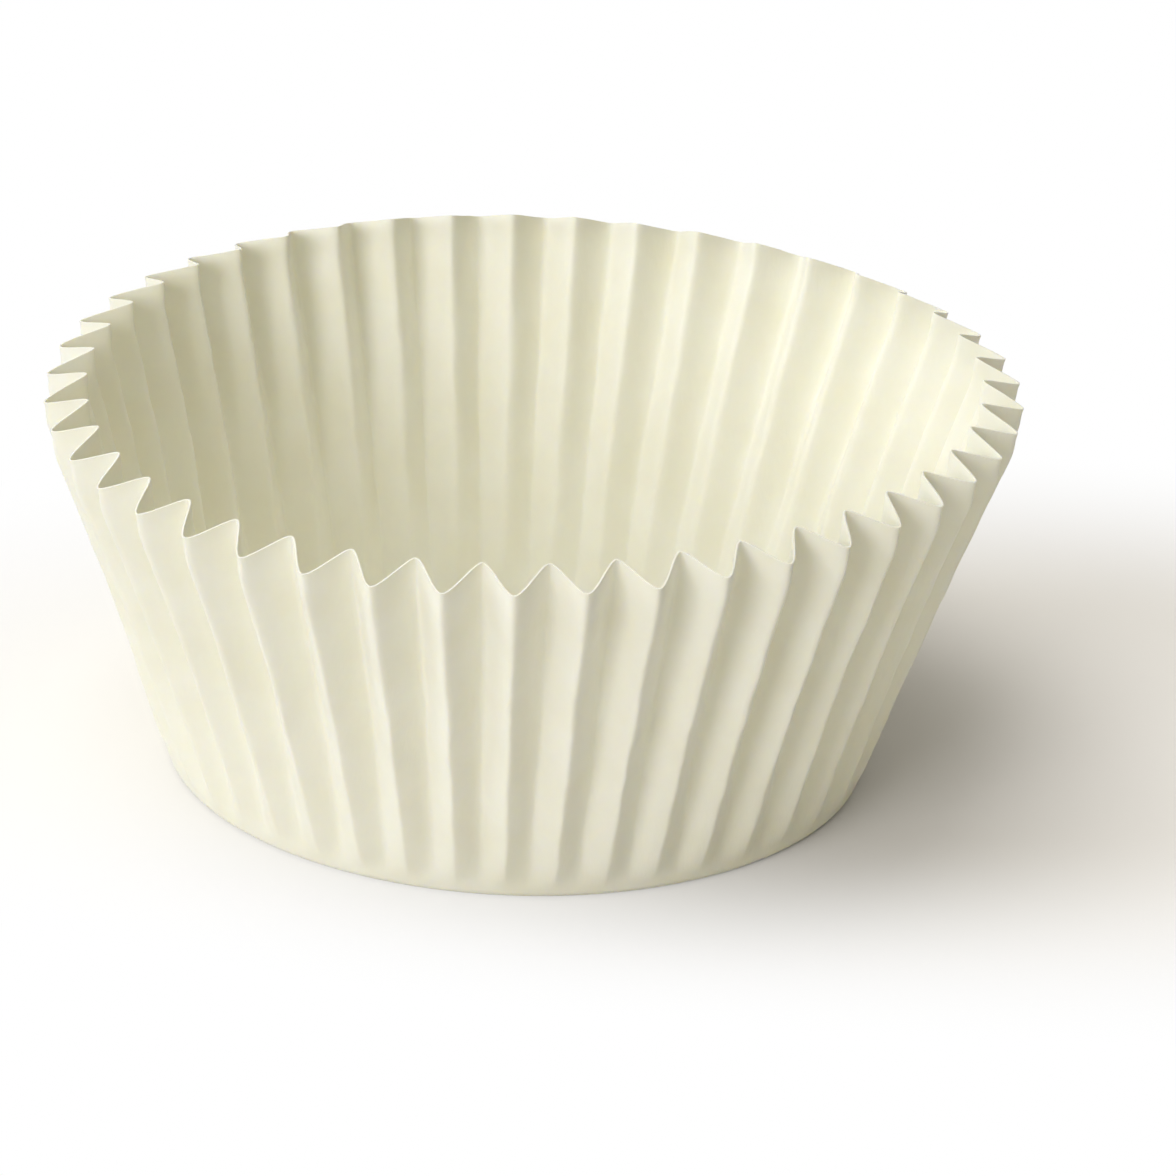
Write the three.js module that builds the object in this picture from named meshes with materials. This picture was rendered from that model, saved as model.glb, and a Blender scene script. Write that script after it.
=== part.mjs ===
// Paper baking cup: one disc of thin paper, pressed into a flat round floor with a flared wall of
// pleats. Millimetres, +Z up, origin at the middle of the underside, the floor's underside at z = 0.

import * as THREE from 'three';

// The paper
const PAPER = 0.12; // thickness of the greaseproof paper
const FLOOR_RADIUS = 24.7; // flat part of the floor
const BEND_RADIUS = 0.6; // bend from the floor into the wall, at the middle of the paper
const WALL_LENGTH = 29.1; // paper from the bend to the trimmed edge, measured up the wall

// The wall's slope, in degrees from upright: it flares a little more towards the rim
const FOOT_SLOPE = 15.1;
const RIM_SLOPE = 21.2;

// The trimmed edge turns in slightly over its last millimetre
const RIM_TURN_IN = 0.42;
const RIM_TURN_REACH = 1.2;

// The pleats: how many, where the first inner fold stands, and how round the folds are
const PLEATS = 44;
const FIRST_FOLD_AT = 4.3; // degrees from +X
const FOLD_ROUNDNESS = 0.04; // towards 0 the folds are sharp, towards 1 the wall is a soft wave
const FOLD_SHOULDER = 12; // degrees of a pleat's full turn from the tip of a fold to its shoulder

// A pressed cup is never quite round: one side leans out more, the rim is a little oval, and the
// pleats have crept together on one side. Degrees, each with the bearing where it is greatest.
const SIDE_LEAN = 1.3;
const SIDE_LEAN_AT = 18;
const OVAL_LEAN = 3.0;
const OVAL_LEAN_AT = 61;
const PLEAT_CREEP = 1.1;
const PLEAT_CREEP_AT = 193;
const OVAL_CREEP = 1.5;
const OVAL_CREEP_AT = 22;

// How finely the sheet is drawn: rings in the bend, and rings up the wall, as shares of its length.
// They stand closer at the foot, where the pleats rise quickly out of the flat floor.
const BEND_STEPS = 2;
const WALL_RINGS = [0.04, 0.16, 0.42, 0.72, 0.95, 1];

const rad = THREE.MathUtils.degToRad;

// How much further out than usual the wall leans at a bearing, in radians.
function leanAt(bearing) {
  const side = rad(SIDE_LEAN) * Math.cos(bearing - rad(SIDE_LEAN_AT));
  const oval = rad(OVAL_LEAN) * Math.cos(2 * (bearing - rad(OVAL_LEAN_AT)));
  return side + oval;
}

// The bearing of a place in the row of pleats: whole numbers are inner folds, halves outer folds.
function bearingOf(pleat) {
  const even = rad(FIRST_FOLD_AT) + (2 * Math.PI * pleat) / PLEATS;
  const side = rad(PLEAT_CREEP) * Math.cos(even - rad(PLEAT_CREEP_AT));
  const oval = rad(OVAL_CREEP) * Math.cos(2 * (even - rad(OVAL_CREEP_AT)));
  return even + side + oval;
}

// How far out a pleat stands, from -1 on an inner fold to 1 on an outer one: flat panels that meet
// in slightly rounded folds.
function foldHeight(pleat) {
  const crispness = 1 - FOLD_ROUNDNESS;
  const turn = -Math.cos(2 * Math.PI * pleat);
  return Math.asin(crispness * turn) / Math.asin(crispness);
}

// The paper's length through the bend under a wall that starts at a given slope.
function bendLength(footSlope) {
  return BEND_RADIUS * (Math.PI / 2 - footSlope);
}

// The wall's middle line at a bearing: radius, height and slope from upright, at a length of paper
// past the edge of the flat floor. The bend is a small arc and the wall a long, slightly flared one.
function wallLine(bearing, length) {
  const foot = rad(FOOT_SLOPE) + leanAt(bearing);
  const bend = bendLength(foot);
  const turned = Math.min(length, bend) / BEND_RADIUS;
  const radius = FLOOR_RADIUS + BEND_RADIUS * Math.sin(turned);
  const height = PAPER / 2 + BEND_RADIUS * (1 - Math.cos(turned));
  if (length <= bend) {
    return { radius, height, slope: Math.PI / 2 - turned };
  }
  const climbed = length - bend;
  const slope = foot + (rad(RIM_SLOPE - FOOT_SLOPE) * climbed) / WALL_LENGTH;
  const chord = (foot + slope) / 2;
  const halfSweep = (slope - foot) / 2;
  const straight = halfSweep === 0 ? climbed : (climbed * Math.sin(halfSweep)) / halfSweep;
  return {
    radius: radius + straight * Math.sin(chord),
    height: height + straight * Math.cos(chord),
    slope,
  };
}

// Half the depth of the pleats at a length of paper past the flat floor. A ring of the flat disc
// keeps its length: what the smaller ring of the wall can't take up goes into the folds.
function halfPleatDepth(length, radius) {
  const flatRadius = FLOOR_RADIUS + length;
  const spare = Math.max(flatRadius ** 2 - radius ** 2, 0);
  return ((Math.PI / PLEATS) * Math.sqrt(spare)) / 2;
}

// A point of the paper's middle surface: a place in the row of pleats, and the ring it lies on.
// A ring is { bend } from 0 to 1 within the bend, or { climb } from 0 to 1 up the wall.
function paperPoint(pleat, ring) {
  const bearing = bearingOf(pleat);
  const bend = bendLength(rad(FOOT_SLOPE) + leanAt(bearing));
  const climbed = ring.climb * WALL_LENGTH;
  const length = ring.bend * bend + climbed;
  const { radius, height, slope } = wallLine(bearing, length);
  const belowEdge = (WALL_LENGTH - climbed) / RIM_TURN_REACH;
  const out = foldHeight(pleat) * halfPleatDepth(length, radius)
    - RIM_TURN_IN * Math.exp(-(belowEdge ** 2));
  const reach = radius + out * Math.cos(slope);
  return new THREE.Vector3(
    reach * Math.cos(bearing),
    reach * Math.sin(bearing),
    height - out * Math.sin(slope),
  );
}

// The places in the row of pleats that carry a line up the wall: the tip of each fold and its two
// shoulders, so that panels stay flat and folds are turned in three steps.
function pleatLines() {
  const shoulder = FOLD_SHOULDER / 360;
  const lines = [];
  for (let fold = 0; fold < 2 * PLEATS; fold += 1) {
    lines.push(fold / 2 - shoulder, fold / 2, fold / 2 + shoulder);
  }
  return lines;
}

// The rings of the sheet, from the edge of the flat floor to the trimmed edge.
function sheetRings() {
  const rings = [];
  for (let step = 0; step <= BEND_STEPS; step += 1) {
    rings.push({ bend: step / BEND_STEPS, climb: 0 });
  }
  for (const climb of WALL_RINGS) {
    rings.push({ bend: 1, climb });
  }
  return rings;
}

// Which way the paper faces at a line and ring, pointing out of the cup.
function outward(sheet, ring, line) {
  if (ring === 0) {
    return new THREE.Vector3(0, 0, -1);
  }
  const lines = sheet[ring].length;
  const top = Math.min(ring + 1, sheet.length - 1);
  const around = sheet[ring][(line + 1) % lines].clone().sub(sheet[ring][(line + lines - 1) % lines]);
  const up = sheet[top][line].clone().sub(sheet[ring - 1][line]);
  return around.cross(up).normalize();
}

// The sheet as a closed solid: an outer and an inner skin half a thickness to either side of the
// middle surface, each closed by the floor, and joined to each other along the trimmed edge.
function pleatedCup() {
  const lines = pleatLines();
  const rings = sheetRings();
  const sheet = rings.map((ring) => lines.map((pleat) => paperPoint(pleat, ring)));
  const positions = [];
  const skins = [1, -1].map((side) => {
    const start = positions.length / 3;
    sheet.forEach((points, ring) => points.forEach((point, line) => {
      const skin = point.clone().addScaledVector(outward(sheet, ring, line), (side * PAPER) / 2);
      positions.push(skin.x, skin.y, skin.z);
    }));
    positions.push(0, 0, (1 - side) * PAPER / 2);
    return start;
  });

  // Both skins split a panel along the same diagonal, so the paper keeps its thickness where a
  // panel twists.
  const faces = [];
  const quad = (a, b, c, d) => faces.push(a, b, c, a, c, d);
  const count = lines.length;
  const middle = rings.length * count;
  const edge = (rings.length - 1) * count;
  const [outer, inner] = skins;
  for (let line = 0; line < count; line += 1) {
    const next = (line + 1) % count;
    for (let row = 0; row < edge; row += count) {
      const low = row + line;
      const lowNext = row + next;
      quad(outer + low, outer + lowNext, outer + lowNext + count, outer + low + count);
      quad(inner + low, inner + low + count, inner + lowNext + count, inner + lowNext);
    }
    faces.push(outer + middle, outer + next, outer + line);
    faces.push(inner + middle, inner + line, inner + next);
    quad(outer + edge + line, outer + edge + next, inner + edge + next, inner + edge + line);
  }

  const geometry = new THREE.BufferGeometry();
  geometry.setAttribute('position', new THREE.Float32BufferAttribute(positions, 3));
  geometry.setIndex(faces);
  geometry.computeVertexNormals();
  return geometry;
}

// Warm white greaseproof paper, matt.
function greaseproofPaper() {
  return new THREE.MeshStandardMaterial({
    name: 'greaseproof_paper',
    color: new THREE.Color().setRGB(0.93, 0.92, 0.85, THREE.SRGBColorSpace),
    roughness: 0.75,
    metalness: 0,
    side: THREE.DoubleSide,
    flatShading: true,
  });
}

const bakingCup = new THREE.Mesh(pleatedCup(), greaseproofPaper());
bakingCup.name = 'baking_cup';

const cup = new THREE.Group();
cup.name = 'paper_baking_cup';
cup.add(bakingCup);

export default cup;
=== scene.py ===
"""A paper baking cup: one disc of warm white paper, pressed into a flat floor with a pleated wall.

One Geometry Nodes tree draws the folded sheet from its named sizes. The cup stands on a plain
white floor under soft light from above, from the left and from the front left. Metres, +Z up,
origin at the middle of the underside.
"""

import logging
import math
from collections.abc import Mapping
from dataclasses import asdict, dataclass, field
from enum import Enum

import bpy
from mathutils import Matrix, Vector


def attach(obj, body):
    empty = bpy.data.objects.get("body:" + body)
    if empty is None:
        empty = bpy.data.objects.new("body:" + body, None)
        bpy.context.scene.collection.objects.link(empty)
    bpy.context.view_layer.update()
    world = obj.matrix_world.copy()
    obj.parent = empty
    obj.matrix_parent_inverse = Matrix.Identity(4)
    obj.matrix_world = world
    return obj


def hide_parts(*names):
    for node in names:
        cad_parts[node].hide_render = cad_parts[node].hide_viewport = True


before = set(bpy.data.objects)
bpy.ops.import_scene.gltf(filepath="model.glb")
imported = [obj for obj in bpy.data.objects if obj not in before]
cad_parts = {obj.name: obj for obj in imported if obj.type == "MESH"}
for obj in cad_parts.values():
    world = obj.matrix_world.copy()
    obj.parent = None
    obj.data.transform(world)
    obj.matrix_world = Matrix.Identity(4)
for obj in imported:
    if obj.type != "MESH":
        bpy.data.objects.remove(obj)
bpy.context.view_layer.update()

MM = 0.001
WELD = 0.000001
SHARP_FROM = 60.0  # degrees between two faces
WHOLE_TURN = 2.0 * math.pi
QUARTER_TURN = math.pi / 2.0

log = logging.getLogger("paper_baking_cup")


class Finish(Enum):
    """The finishes of the object, by the names of the record's material slots."""

    PAPER = "paper"


class Layer(Enum):
    """Which noise of the sheet is meant, by its distance from the seed."""

    SWAY = 0.0
    COCKLE = 9.0
    DEPTH = 21.0
    TRIM = 33.0
    CRINKLE = 45.0


@dataclass(frozen=True)
class CupSizes:
    """The folded sheet, in millimetres and degrees. Bearings count from +X towards +Y."""

    paper: float = 0.11
    floor_radius: float = 24.7
    bend_radius: float = 0.6
    wall_length: float = 29.1
    foot_slope: float = 15.1
    rim_slope: float = 21.2
    pressed_foot: float = 1.3
    rim_turn_in: float = 0.42
    rim_turn_reach: float = 1.2
    pleats: int = 44
    first_fold_at: float = 4.3
    outer_crispness: float = 0.982
    inner_crispness: float = 0.75
    rim_outer_crispness: float = 0.80
    rim_inner_crispness: float = 0.83
    side_lean: float = 1.3
    side_lean_at: float = 18.0
    oval_lean: float = 3.0
    oval_lean_at: float = 61.0
    pleat_creep: float = 1.1
    pleat_creep_at: float = 193.0
    oval_creep: float = 1.5
    oval_creep_at: float = 22.0


@dataclass(frozen=True)
class HandMade:
    """How far the paper strays from an even fold, in millimetres, and how often."""

    seed: float = 7.0
    bump_height: float = 7.5
    sway: float = 0.2
    sway_bumps: float = 6.0
    cockle: float = 0.09
    cockle_bumps: float = 5.0
    crinkle: float = 0.10
    crinkle_bumps: float = 26.0
    crinkle_height: float = 2.1
    uneven_depth: float = 0.09
    depth_stretch: float = 4.0
    trim: float = 0.10
    trim_bumps: float = 9.0


@dataclass(frozen=True)
class Fineness:
    """How finely the sheet is drawn: columns to a pleat, and rows in each stretch of the paper."""

    columns_per_pleat: int = 16
    columns_to_folds: float = 0.62
    floor_rows: int = 5
    bend_rows: int = 5
    wall_rows: int = 50
    rows_to_ends: float = 0.5


@dataclass(frozen=True)
class PaperFinish:
    """Greaseproof paper: a warm white, matt sheet that lets some light through."""

    slot: Finish = Finish.PAPER
    pale: tuple[float, float, float] = (0.885, 0.875, 0.772)
    deep: tuple[float, float, float] = (0.858, 0.844, 0.728)
    roughness: float = 0.58
    roughness_spread: float = 0.06
    refraction: float = 1.45
    sheen: float = 0.30
    through: float = 0.65
    through_reach: float = 0.0002
    through_tint: tuple[float, float, float] = (1.0, 0.88, 0.58)
    cloud_size: float = 0.0045
    cloud_detail: float = 3.0
    cloud_span: tuple[float, float] = (0.3, 0.62)
    fibre_size: float = 0.00045
    fibre_stretch: float = 3.5
    fibre_detail: float = 4.0
    grain: float = 0.42
    grain_depth: float = 0.00005


@dataclass(frozen=True)
class CameraPose:
    """Where the photograph was taken from: degrees, and metres to the point it circles."""

    elevation: float = 23.59
    distance: float = 0.4725
    centre_height: float = 0.0126
    yaw: float = -0.5855
    roll: float = -2.235
    lens: float = 200.92
    sensor: float = 36.0
    nearest: float = 0.01


@dataclass(frozen=True)
class SoftLight:
    """A large, soft lamp that stands round the cup: metres, degrees and watts."""

    name: str
    bearing: float
    elevation: float
    distance: float
    side: float
    power: float
    colour: tuple[float, float, float] = (1.0, 1.0, 1.0)


@dataclass(frozen=True)
class Studio:
    """The plain white floor and the light on it, in metres.

    Floor and sky have one colour for the light that they give the cup, and another for the camera.
    The floor keeps its shadow round one place, and is plain white further away.
    """

    floor_side: float = 3.0
    floor_gap: float = 0.00001
    floor_roughness: float = 0.9
    floor_colour: tuple[float, float, float] = (0.74, 0.73, 0.71)
    # Painted shade: the camera sees the floor greyer and warmer than white, which deepens the
    # cup's shadow and paints into it the warm light that would come through the paper.
    seen_floor_with_painted_shade: tuple[float, float, float] = (0.92, 0.90, 0.86)
    shadow_at: tuple[float, float, float] = (0.030, 0.008, 0.0)
    shadow_narrowed: tuple[float, float, float] = (1.0, 1.9, 1.0)
    shadow_reach: float = 0.038
    white_from: float = 0.100
    sky_strength: float = 0.27
    sky_slant: float = 0.80
    sky_rise: float = 0.85
    sky_colour: tuple[float, float, float] = (1.0, 0.965, 0.895)
    lights: tuple[SoftLight, ...] = field(
        default_factory=lambda: (
            SoftLight("top_light", 160.0, 74.0, 2.0, 1.4, 18.5, (1.0, 0.99, 0.98)),
            SoftLight("left_light", 192.0, 9.0, 2.0, 1.0, 7.2, (0.88, 0.95, 1.0)),
            SoftLight("front_light", 238.0, 21.0, 2.0, 0.9, 15.6, (0.985, 0.972, 1.0)),
        )
    )


@dataclass(frozen=True)
class Term:
    """A number that a node tree works out at each point, written as ordinary arithmetic."""

    tree: bpy.types.NodeTree
    socket: bpy.types.NodeSocket

    def _math(self, operation: str, *others: "Term | float") -> "Term":
        """Adds one math node.

        Args:
            operation: Name of the math node's operation.
            others: What comes after this number in the operation.

        Returns:
            The node's result.
        """
        node = self.tree.nodes.new("ShaderNodeMath")
        node.operation = operation
        for place, value in enumerate((self, *others)):
            if isinstance(value, Term):
                self.tree.links.new(value.socket, node.inputs[place])
            else:
                node.inputs[place].default_value = value
        return Term(self.tree, node.outputs[0])

    def __add__(self, other: "Term | float") -> "Term":
        """This number and another."""
        return self._math("ADD", other)

    def __sub__(self, other: "Term | float") -> "Term":
        """This number less another."""
        return self._math("SUBTRACT", other)

    def __rsub__(self, other: float) -> "Term":
        """A plain number less this one."""
        return (-self) + other

    def __mul__(self, other: "Term | float") -> "Term":
        """This number times another."""
        return self._math("MULTIPLY", other)

    def __truediv__(self, other: "Term | float") -> "Term":
        """This number divided by another."""
        return self._math("DIVIDE", other)

    def __pow__(self, power: float) -> "Term":
        """This number to a power."""
        return self._math("POWER", power)

    def __neg__(self) -> "Term":
        """This number with its sign turned."""
        return self._math("MULTIPLY", -1.0)

    def sine(self) -> "Term":
        """Its sine."""
        return self._math("SINE")

    def cosine(self) -> "Term":
        """Its cosine."""
        return self._math("COSINE")

    def arcsine(self) -> "Term":
        """The angle whose sine it is."""
        return self._math("ARCSINE")

    def root(self) -> "Term":
        """Its square root."""
        return self._math("SQRT")

    def exponential(self) -> "Term":
        """The number e to its power."""
        return self._math("EXPONENT")

    def at_least(self, least: "Term | float") -> "Term":
        """The larger of the two."""
        return self._math("MAXIMUM", least)

    def at_most(self, most: "Term | float") -> "Term":
        """The smaller of the two."""
        return self._math("MINIMUM", most)

    def share(self) -> "Term":
        """Held between 0 and 1."""
        return self.at_least(0.0).at_most(1.0)


def total(*terms: Term) -> Term:
    """Adds numbers up.

    Args:
        terms: What is added, at least one.

    Returns:
        Their sum.
    """
    first, *others = terms
    for other in others:
        first = first + other
    return first


class SheetTree:
    """The Geometry Nodes tree that folds a flat grid into the cup."""

    NOISE_DETAIL = 3.0
    NOISE_ROUGHNESS = 0.6
    NOISE_SPREAD = 3.0
    RIM_FOLDS_ONSET = 4.0
    TRIM_ONSET = 6.0

    def __init__(self, finish: bpy.types.Material, *groups: object) -> None:
        """Builds the tree.

        Args:
            finish: What the paper is made of.
            groups: Dataclasses of plain numbers, which become the tree's named inputs.
        """
        self.tree = bpy.data.node_groups.new("pleated_sheet", "GeometryNodeTree")
        self.values: dict[str, float] = {}
        self.sizes = self._inputs(*groups)
        self.grid = self._grid()
        self._fold(finish)

    def _inputs(self, *groups: object) -> Mapping[str, Term]:
        """Adds the named inputs.

        Args:
            groups: Dataclasses of plain numbers.

        Returns:
            Each field's name with its number in the tree.
        """
        identifiers: dict[str, str] = {}
        for group in groups:
            for name, value in asdict(group).items():
                socket = self.tree.interface.new_socket(
                    name=name.replace("_", " "),
                    in_out="INPUT",
                    socket_type="NodeSocketFloat",
                )
                self.values[socket.identifier] = float(value)
                identifiers[name] = socket.identifier
        source = self.tree.nodes.new("NodeGroupInput")
        sockets = {output.identifier: output for output in source.outputs}
        return {name: Term(self.tree, sockets[i]) for name, i in identifiers.items()}

    def _grid(self) -> bpy.types.Node:
        """The flat grid, one metre square: +X runs round the cup and +Y out and up the paper."""
        s = self.sizes
        grid = self.tree.nodes.new("GeometryNodeMeshGrid")
        grid.inputs["Size X"].default_value = 1.0
        grid.inputs["Size Y"].default_value = 1.0
        columns = s["pleats"] * s["columns_per_pleat"] + 1.0
        rows = total(s["floor_rows"], s["bend_rows"], s["wall_rows"]) + 1.0
        self.tree.links.new(columns.socket, grid.inputs["Vertices X"])
        self.tree.links.new(rows.socket, grid.inputs["Vertices Y"])
        return grid

    def _degrees(self, name: str) -> Term:
        """An input in degrees, as radians."""
        return self.sizes[name] * math.radians(1.0)

    def _swing(self, angle: Term, amount: str, turns: float = 1.0) -> Term:
        """A wave round the cup.

        Args:
            angle: The bearing.
            amount: Name of the wave's height; its bearing has the same name and "_at".
            turns: How many waves go round.

        Returns:
            The wave at that bearing, in radians.
        """
        away = angle - self._degrees(f"{amount}_at")
        return (away * turns).cosine() * self._degrees(amount)

    def _noise(self, angle: Term, bumps: Term, height: Term, layer: Layer) -> Term:
        """Smooth noise that closes round the cup.

        Args:
            angle: The bearing.
            bumps: How closely the bumps stand round the cup.
            height: Place up the wall, in bumps.
            layer: Which of the tree's noises this is.

        Returns:
            A number from about -1 to 1.
        """
        nodes, links = self.tree.nodes, self.tree.links
        place = nodes.new("ShaderNodeCombineXYZ")
        links.new((angle.cosine() * bumps).socket, place.inputs["X"])
        links.new((angle.sine() * bumps).socket, place.inputs["Y"])
        links.new(height.socket, place.inputs["Z"])
        noise = nodes.new("ShaderNodeTexNoise")
        noise.noise_dimensions = "4D"
        noise.inputs["Scale"].default_value = 1.0
        noise.inputs["Detail"].default_value = self.NOISE_DETAIL
        noise.inputs["Roughness"].default_value = self.NOISE_ROUGHNESS
        links.new(place.outputs["Vector"], noise.inputs["Vector"])
        links.new((self.sizes["seed"] + layer.value).socket, noise.inputs["W"])
        return (Term(self.tree, noise.outputs["Fac"]) - 0.5) * self.NOISE_SPREAD

    def _place_in_grid(self) -> tuple[Term, Term, Term, Term]:
        """Where a point of the grid lies on the paper.

        Returns:
            Its pleat, and its shares of the floor, of the bend and of the wall.
        """
        s = self.sizes
        nodes = self.tree.nodes
        split = nodes.new("ShaderNodeSeparateXYZ")
        position = nodes.new("GeometryNodeInputPosition")
        self.tree.links.new(position.outputs["Position"], split.inputs["Vector"])
        across = Term(self.tree, split.outputs["X"]) + 0.5
        along = Term(self.tree, split.outputs["Y"]) + 0.5

        even = across * s["pleats"]
        to_folds = 2.0 * WHOLE_TURN
        pleat = even - (even * to_folds).sine() * s["columns_to_folds"] / to_folds
        row = along * total(s["floor_rows"], s["bend_rows"], s["wall_rows"])
        floor = (row / s["floor_rows"]).share()
        bend = ((row - s["floor_rows"]) / s["bend_rows"]).share()
        wall = ((row - s["floor_rows"] - s["bend_rows"]) / s["wall_rows"]).share()
        wall = wall - (wall * WHOLE_TURN).sine() * s["rows_to_ends"] / WHOLE_TURN
        return pleat, floor, bend, wall

    def _fold_height(self, pleat: Term, wall: Term) -> Term:
        """How far out a pleat stands.

        Args:
            pleat: Place in the row of pleats; whole numbers are inner folds.
            wall: Share of the wall's length.

        Returns:
            From -1 on an inner fold to 1 on an outer one.
        """
        s = self.sizes
        turn = -(pleat * WHOLE_TURN).cosine()
        outwards = turn * 0.5 + 0.5
        near_rim = wall**self.RIM_FOLDS_ONSET
        inner, outer = (
            s[f"{fold}_crispness"]
            + (s[f"rim_{fold}_crispness"] - s[f"{fold}_crispness"]) * near_rim
            for fold in ("inner", "outer")
        )
        crispness = inner + (outer - inner) * outwards
        return (crispness * turn).arcsine() / crispness.arcsine()

    def _point(self) -> tuple[Term, Term, Term]:
        """The folded place of a point of the grid, as X, Y and Z in millimetres."""
        s = self.sizes
        pleat, floor, bend, wall = self._place_in_grid()
        even = self._degrees("first_fold_at") + pleat * WHOLE_TURN / s["pleats"]
        bearing = total(
            even,
            self._swing(even, "pleat_creep"),
            self._swing(even, "oval_creep", 2.0),
        )

        up = wall * s["wall_length"]
        storeys = up / s["bump_height"]
        finer = up / s["crinkle_height"]
        slower = storeys / s["depth_stretch"]
        middle = wall * (1.0 - wall) * 4.0
        sway = self._noise(bearing, s["sway_bumps"], storeys, Layer.SWAY) * s["sway"]
        cockle = self._noise(bearing, s["cockle_bumps"], storeys, Layer.COCKLE) * s["cockle"]
        crinkle = self._noise(bearing, s["crinkle_bumps"], finer, Layer.CRINKLE) * s["crinkle"]
        depth = self._noise(bearing, s["sway_bumps"], slower, Layer.DEPTH) * s["uneven_depth"]
        trim = self._noise(bearing, s["trim_bumps"], s["seed"], Layer.TRIM) * s["trim"]
        climbed = up + trim * wall**self.TRIM_ONSET

        foot = total(
            self._degrees("foot_slope"),
            self._swing(bearing, "side_lean"),
            self._swing(bearing, "oval_lean", 2.0),
        )
        turned = bend * (QUARTER_TURN - foot)
        flare = self._degrees("rim_slope") - self._degrees("foot_slope")
        half_sweep = flare * climbed / s["wall_length"] * 0.5
        slope = QUARTER_TURN - turned + half_sweep * 2.0
        chord = foot + half_sweep
        straight = climbed * (1.0 - half_sweep**2.0 / 6.0)

        on_floor = floor * s["floor_radius"]
        radius = on_floor + turned.sine() * s["bend_radius"] + chord.sine() * straight
        height = total(
            s["paper"] * 0.5,
            s["bend_radius"] * (1.0 - turned.cosine()),
            chord.cosine() * straight,
        )

        flat_radius = on_floor + turned * s["bend_radius"] + climbed
        spare = (flat_radius**2.0 - radius**2.0).at_least(0.0).root()
        half_depth = spare * QUARTER_TURN / s["pleats"]
        half_depth = half_depth * (depth + 1.0)
        above_foot = climbed / s["pressed_foot"]
        half_depth = half_depth * (1.0 - (-(above_foot**2.0)).exponential())
        below_edge = (s["wall_length"] - up) / s["rim_turn_reach"]
        turn_in = (-(below_edge**2.0)).exponential() * s["rim_turn_in"]
        in_fold = self._fold_height(pleat, wall) * half_depth
        out = in_fold + (cockle + crinkle) * middle - turn_in

        reach = radius + out * slope.cosine()
        swayed = bearing + (sway + crinkle) * middle / reach.at_least(1.0)
        return (
            reach * swayed.cosine(),
            reach * swayed.sine(),
            height - out * slope.sine(),
        )

    def _fold(self, finish: bpy.types.Material) -> None:
        """Moves the grid's points to the folded sheet, closes it and gives it its finish."""
        nodes, links = self.tree.nodes, self.tree.links
        place = nodes.new("ShaderNodeCombineXYZ")
        for axis, term in zip("XYZ", self._point(), strict=True):
            links.new((term * MM).socket, place.inputs[axis])
        move = nodes.new("GeometryNodeSetPosition")
        links.new(self.grid.outputs["Mesh"], move.inputs["Geometry"])
        links.new(place.outputs["Vector"], move.inputs["Position"])
        weld = nodes.new("GeometryNodeMergeByDistance")
        weld.inputs["Distance"].default_value = WELD
        realize = nodes.new("GeometryNodeRealizeInstances")
        coat = nodes.new("GeometryNodeSetMaterial")
        coat.inputs["Material"].default_value = finish
        self.tree.interface.new_socket(
            name="Mesh", in_out="OUTPUT", socket_type="NodeSocketGeometry"
        )
        end = nodes.new("NodeGroupOutput")
        links.new(move.outputs["Geometry"], weld.inputs["Geometry"])
        links.new(weld.outputs["Geometry"], realize.inputs["Geometry"])
        links.new(realize.outputs["Geometry"], coat.inputs["Geometry"])
        links.new(coat.outputs["Geometry"], end.inputs[0])


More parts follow.
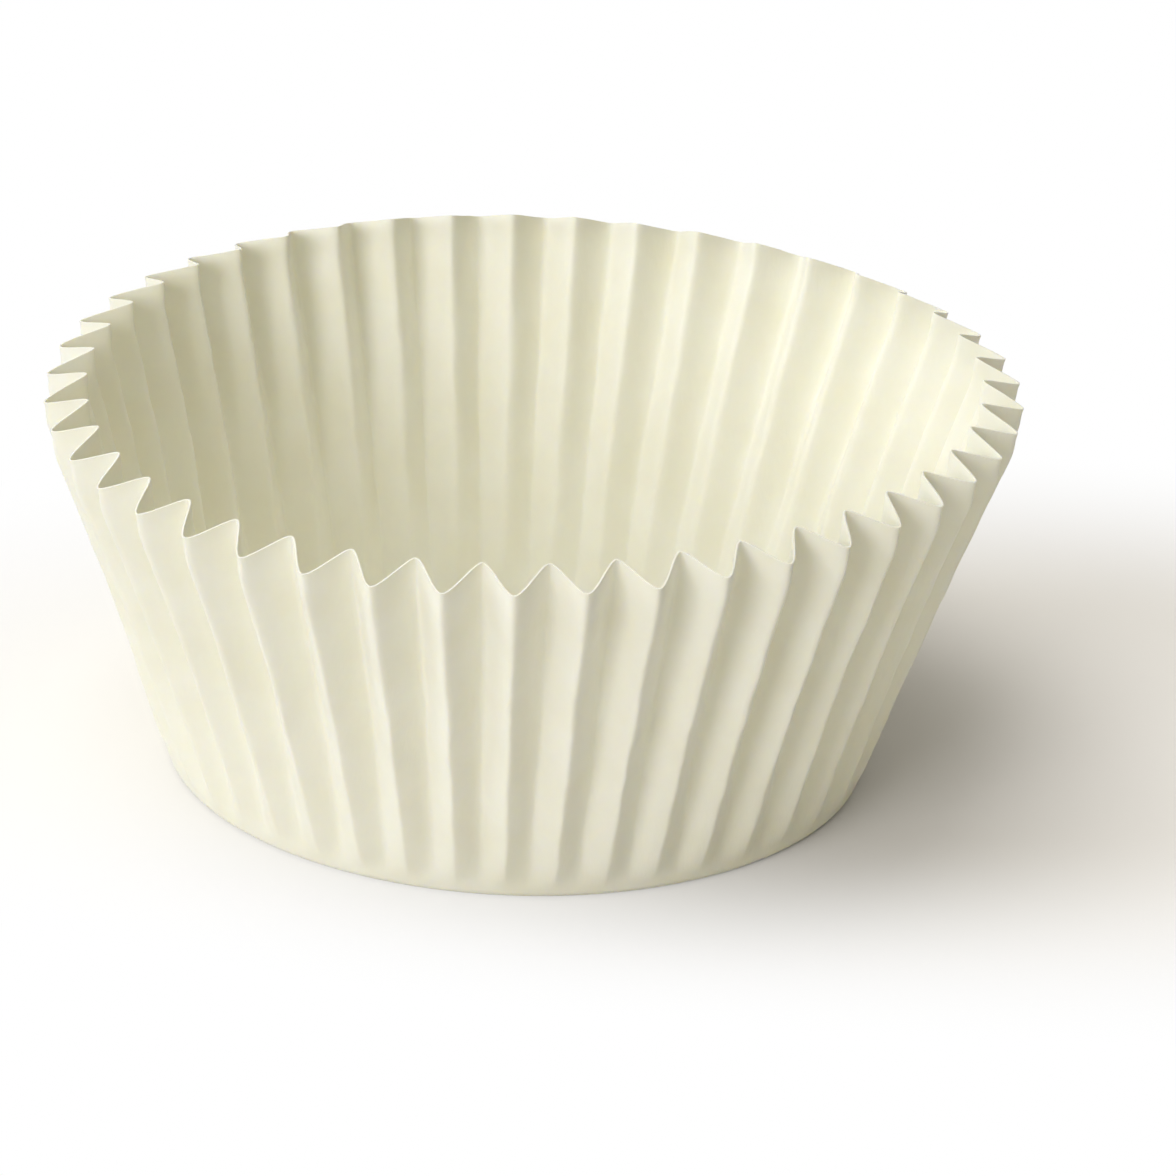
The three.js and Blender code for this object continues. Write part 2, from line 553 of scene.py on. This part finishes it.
class PaperMaterial:
    """Greaseproof paper, drawn by noise on Object coordinates."""

    def __init__(self, finish: PaperFinish) -> None:
        """Builds the material.

        Args:
            finish: Its colours and sizes.
        """
        self.finish = finish
        self.material = bpy.data.materials.new(finish.slot.value)
        self.material.use_nodes = True
        self.tree = self.material.node_tree
        self.shader = self.tree.nodes["Principled BSDF"]
        self.place = self.tree.nodes.new("ShaderNodeTexCoord").outputs["Object"]
        self._set_plain_values()
        self._tint()
        self._grain()

    def _set_plain_values(self) -> None:
        """Sets the values that are the same all over the sheet."""
        finish, inputs = self.finish, self.shader.inputs
        inputs["IOR"].default_value = finish.refraction
        inputs["Specular IOR Level"].default_value = finish.sheen
        inputs["Subsurface Weight"].default_value = finish.through
        inputs["Subsurface Scale"].default_value = finish.through_reach
        inputs["Subsurface Radius"].default_value = finish.through_tint

    def _noise(self, size: float, stretch: float, detail: float) -> bpy.types.NodeSocket:
        """Adds a noise.

        Args:
            size: Size of its bumps, in metres.
            stretch: How many times longer than wide they are.
            detail: Octaves of finer noise in it.

        Returns:
            Its height, from 0 to 1.
        """
        scale = self.tree.nodes.new("ShaderNodeMapping")
        scale.inputs["Scale"].default_value = (1.0, 1.0, 1.0 / stretch)
        noise = self.tree.nodes.new("ShaderNodeTexNoise")
        noise.inputs["Scale"].default_value = 1.0 / size
        noise.inputs["Detail"].default_value = detail
        self.tree.links.new(self.place, scale.inputs["Vector"])
        self.tree.links.new(scale.outputs["Vector"], noise.inputs["Vector"])
        return noise.outputs["Fac"]

    def _tint(self) -> None:
        """Clouds the colour and the roughness a little, as pressed pulp does."""
        finish = self.finish
        clouds = self._noise(finish.cloud_size, 1.0, finish.cloud_detail)
        ramp = self.tree.nodes.new("ShaderNodeValToRGB")
        low, high = ramp.color_ramp.elements
        low.position, high.position = finish.cloud_span
        low.color, high.color = (*finish.deep, 1.0), (*finish.pale, 1.0)
        self.tree.links.new(clouds, ramp.inputs["Fac"])
        self.tree.links.new(ramp.outputs["Color"], self.shader.inputs["Base Color"])
        rough = self.tree.nodes.new("ShaderNodeMapRange")
        rough.inputs["To Min"].default_value = finish.roughness - finish.roughness_spread
        rough.inputs["To Max"].default_value = finish.roughness + finish.roughness_spread
        self.tree.links.new(clouds, rough.inputs["Value"])
        self.tree.links.new(rough.outputs["Result"], self.shader.inputs["Roughness"])

    def _grain(self) -> None:
        """Raises fine, upright fibres on the surface."""
        finish = self.finish
        fibres = self._noise(finish.fibre_size, finish.fibre_stretch, finish.fibre_detail)
        bump = self.tree.nodes.new("ShaderNodeBump")
        bump.inputs["Strength"].default_value = finish.grain
        bump.inputs["Distance"].default_value = finish.grain_depth
        self.tree.links.new(fibres, bump.inputs["Height"])
        self.tree.links.new(bump.outputs["Normal"], self.shader.inputs["Normal"])


class CupBuilder:
    """Makes the cup's one piece."""

    def __init__(self, sizes: CupSizes, made: HandMade, fineness: Fineness) -> None:
        """Keeps the sizes.

        Args:
            sizes: The folded sheet.
            made: How far it strays from an even fold.
            fineness: How finely it is drawn.
        """
        self.sizes = sizes
        self.made = made
        self.fineness = fineness

    def build(self, finish: PaperFinish) -> bpy.types.Object:
        """Draws the sheet and gives it its thickness.

        Args:
            finish: The paper's finish.

        Returns:
            The cup, a plain mesh that stands for the CAD node.
        """
        material = PaperMaterial(finish).material
        piece = bpy.data.objects.new("pleated_cup", bpy.data.meshes.new("pleated_cup"))
        bpy.context.scene.collection.objects.link(piece)
        folds = SheetTree(material, self.sizes, self.made, self.fineness)
        nodes = piece.modifiers.new("pleated_sheet", "NODES")
        nodes.node_group = folds.tree
        for identifier, value in folds.values.items():
            nodes[identifier] = value
        skins = piece.modifiers.new("thickness", "SOLIDIFY")
        skins.thickness = self.sizes.paper * MM
        skins.offset = 0.0
        skins.use_even_offset = True

        made = piece.evaluated_get(bpy.context.evaluated_depsgraph_get())
        mesh = bpy.data.meshes.new_from_object(made)
        piece.modifiers.clear()
        piece.data = mesh
        mesh.name = piece.name
        mesh.shade_smooth()
        mesh.set_sharp_from_angle(angle=math.radians(SHARP_FROM))

        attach(piece, "root")
        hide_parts("baking_cup")
        axes = list(zip(*(vertex.co for vertex in mesh.vertices), strict=True))
        low, high = ([round(pick(axis) / MM, 2) for axis in axes] for pick in (min, max))
        log.info("%s: %d faces, from %s to %s mm", piece.name, len(mesh.polygons), low, high)
        return piece


class StudioBuilder:
    """Sets up the floor, the light and the camera."""

    def __init__(self, studio: Studio, pose: CameraPose) -> None:
        """Keeps the sizes.

        Args:
            studio: The floor and the lamps.
            pose: Where the camera stands.
        """
        self.studio = studio
        self.pose = pose
        self.scene = bpy.context.scene

    def build(self) -> None:
        """Makes everything that isn't the object."""
        self._floor()
        self._sky()
        for light in self.studio.lights:
            self._lamp(light)
        self._camera()
        self.scene.view_settings.view_transform = "Standard"

    def _floor(self) -> None:
        """Lays the floor just under the cup."""
        studio = self.studio
        half, low = studio.floor_side / 2.0, -studio.floor_gap
        mesh = bpy.data.meshes.new("floor")
        corners = [(-half, -half, low), (half, -half, low), (half, half, low), (-half, half, low)]
        mesh.from_pydata(corners, [], [(0, 1, 2, 3)])
        material = bpy.data.materials.new("white_floor")
        material.use_nodes = True
        shader = material.node_tree.nodes["Principled BSDF"]
        shader.inputs["Roughness"].default_value = studio.floor_roughness
        shader.inputs["Specular IOR Level"].default_value = 0.0
        self._fade_to_white(material.node_tree, shader)
        mesh.materials.append(material)
        floor = bpy.data.objects.new("floor", mesh)
        self.scene.collection.objects.link(floor)

    def _looked_at(self, tree: bpy.types.NodeTree) -> bpy.types.NodeSocket:
        """Tells what is seen from what only lights the cup.

        Args:
            tree: A node tree of the floor or the sky.

        Returns:
            1 where the camera looks, also in a reflection or through glass, and 0 elsewhere.
        """
        path = tree.nodes.new("ShaderNodeLightPath").outputs
        seen = Term(tree, path["Is Camera Ray"])
        for ray in ("Is Glossy Ray", "Is Transmission Ray"):
            seen = seen.at_least(Term(tree, path[ray]))
        return seen.socket

    def _from_shadow(self, tree: bpy.types.NodeTree) -> bpy.types.NodeSocket:
        """Measures how far a point of the floor lies from the middle of the shadow.

        Args:
            tree: The floor's node tree.

        Returns:
            The distance in metres, counted more across the shadow than along it.
        """
        place = tree.nodes.new("ShaderNodeTexCoord").outputs["Object"]
        steps = (
            ("SUBTRACT", self.studio.shadow_at),
            ("MULTIPLY", self.studio.shadow_narrowed),
        )
        for operation, amount in steps:
            step = tree.nodes.new("ShaderNodeVectorMath")
            step.operation = operation
            tree.links.new(place, step.inputs[0])
            step.inputs[1].default_value = amount
            place = step.outputs["Vector"]
        away = tree.nodes.new("ShaderNodeVectorMath")
        away.operation = "LENGTH"
        tree.links.new(place, away.inputs[0])
        return away.outputs["Value"]

    def _fade_to_white(self, tree: bpy.types.NodeTree, shader: bpy.types.Node) -> None:
        """Shows the camera plain white past the reach of the cup's shadow.

        Args:
            tree: The floor's node tree.
            shader: What the floor is made of near the cup.
        """
        studio, nodes, links = self.studio, tree.nodes, tree.links
        looked_at = self._looked_at(tree)
        tone = nodes.new("ShaderNodeMix")
        tone.data_type = "RGBA"
        sockets = {socket.identifier: socket for socket in (*tone.inputs, *tone.outputs)}
        links.new(looked_at, sockets["Factor_Float"])
        sockets["A_Color"].default_value = (*studio.floor_colour, 1.0)
        # painted shade: the greyer, warmer floor colour that the camera sees deepens and warms the
        # cup's shadow
        sockets["B_Color"].default_value = (*studio.seen_floor_with_painted_shade, 1.0)
        links.new(sockets["Result_Color"], shader.inputs["Base Color"])

        fade = nodes.new("ShaderNodeMapRange")
        fade.interpolation_type = "SMOOTHSTEP"
        fade.inputs["From Min"].default_value = studio.shadow_reach
        fade.inputs["From Max"].default_value = studio.white_from
        links.new(self._from_shadow(tree), fade.inputs["Value"])
        seen_white = Term(tree, fade.outputs["Result"]) * Term(tree, looked_at)
        white = nodes.new("ShaderNodeEmission")
        either = nodes.new("ShaderNodeMixShader")
        links.new(seen_white.socket, either.inputs["Fac"])
        links.new(shader.outputs["BSDF"], either.inputs[1])
        links.new(white.outputs["Emission"], either.inputs[2])
        links.new(either.outputs["Shader"], nodes["Material Output"].inputs["Surface"])

    def _sky(self) -> None:
        """Lights from all round, and shows the camera plain white."""
        world = bpy.data.worlds.new("studio")
        world.use_nodes = True
        self.scene.world = world
        nodes, links = world.node_tree.nodes, world.node_tree.links
        light = nodes["Background"]
        light.inputs["Color"].default_value = (*self.studio.sky_colour, 1.0)
        brighter = nodes.new("ShaderNodeVectorMath")
        brighter.operation = "DOT_PRODUCT"
        brighter.inputs[1].default_value = (-self.studio.sky_slant, 0.0, self.studio.sky_rise)
        links.new(nodes.new("ShaderNodeTexCoord").outputs["Generated"], brighter.inputs[0])
        strength = Term(world.node_tree, brighter.outputs["Value"]) + 1.0
        links.new((strength * self.studio.sky_strength).socket, light.inputs["Strength"])
        seen = nodes.new("ShaderNodeBackground")
        seen.inputs["Color"].default_value = (1.0, 1.0, 1.0, 1.0)
        seen.inputs["Strength"].default_value = 1.0
        either = nodes.new("ShaderNodeMixShader")
        links.new(self._looked_at(world.node_tree), either.inputs["Fac"])
        links.new(light.outputs["Background"], either.inputs[1])
        links.new(seen.outputs["Background"], either.inputs[2])
        links.new(either.outputs["Shader"], nodes["World Output"].inputs["Surface"])

    def _lamp(self, light: SoftLight) -> None:
        """Hangs one lamp, turned to the cup.

        Args:
            light: Its place, size and power.
        """
        data = bpy.data.lights.new(light.name, "AREA")
        data.energy = light.power
        data.color = light.colour
        data.size = light.side
        lamp = bpy.data.objects.new(light.name, data)
        bearing, elevation = math.radians(light.bearing), math.radians(light.elevation)
        away = Vector(
            (
                math.cos(bearing) * math.cos(elevation),
                math.sin(bearing) * math.cos(elevation),
                math.sin(elevation),
            )
        )
        lamp.location = away * light.distance
        lamp.rotation_euler = (-away).to_track_quat("-Z", "Y").to_euler()
        self.scene.collection.objects.link(lamp)

    def _camera(self) -> None:
        """Stands the camera where the photograph was taken from."""
        pose = self.pose
        elevation = math.radians(pose.elevation)
        ahead = Vector((0.0, math.cos(elevation), -math.sin(elevation)))
        right = Vector((1.0, 0.0, 0.0))
        up = right.cross(ahead)
        yaw = Matrix.Rotation(math.radians(pose.yaw), 3, up)
        roll = Matrix.Rotation(math.radians(pose.roll), 3, yaw @ ahead)
        data = bpy.data.cameras.new("camera")
        data.lens = pose.lens
        data.sensor_width = pose.sensor
        data.clip_start = pose.nearest
        camera = bpy.data.objects.new("camera", data)
        axes = Matrix((roll @ yaw @ right, roll @ up, -(yaw @ ahead))).transposed()
        camera.matrix_world = Matrix.LocRotScale(
            Vector((0.0, 0.0, pose.centre_height)) - ahead * pose.distance,
            axes.to_quaternion(),
            None,
        )
        self.scene.collection.objects.link(camera)
        self.scene.camera = camera


def main() -> None:
    """Builds the cup, then the studio round it."""
    logging.basicConfig(level=logging.INFO, format="%(name)s: %(message)s")
    CupBuilder(CupSizes(), HandMade(), Fineness()).build(PaperFinish())
    StudioBuilder(Studio(), CameraPose()).build()


if __name__ == "__main__":
    main()
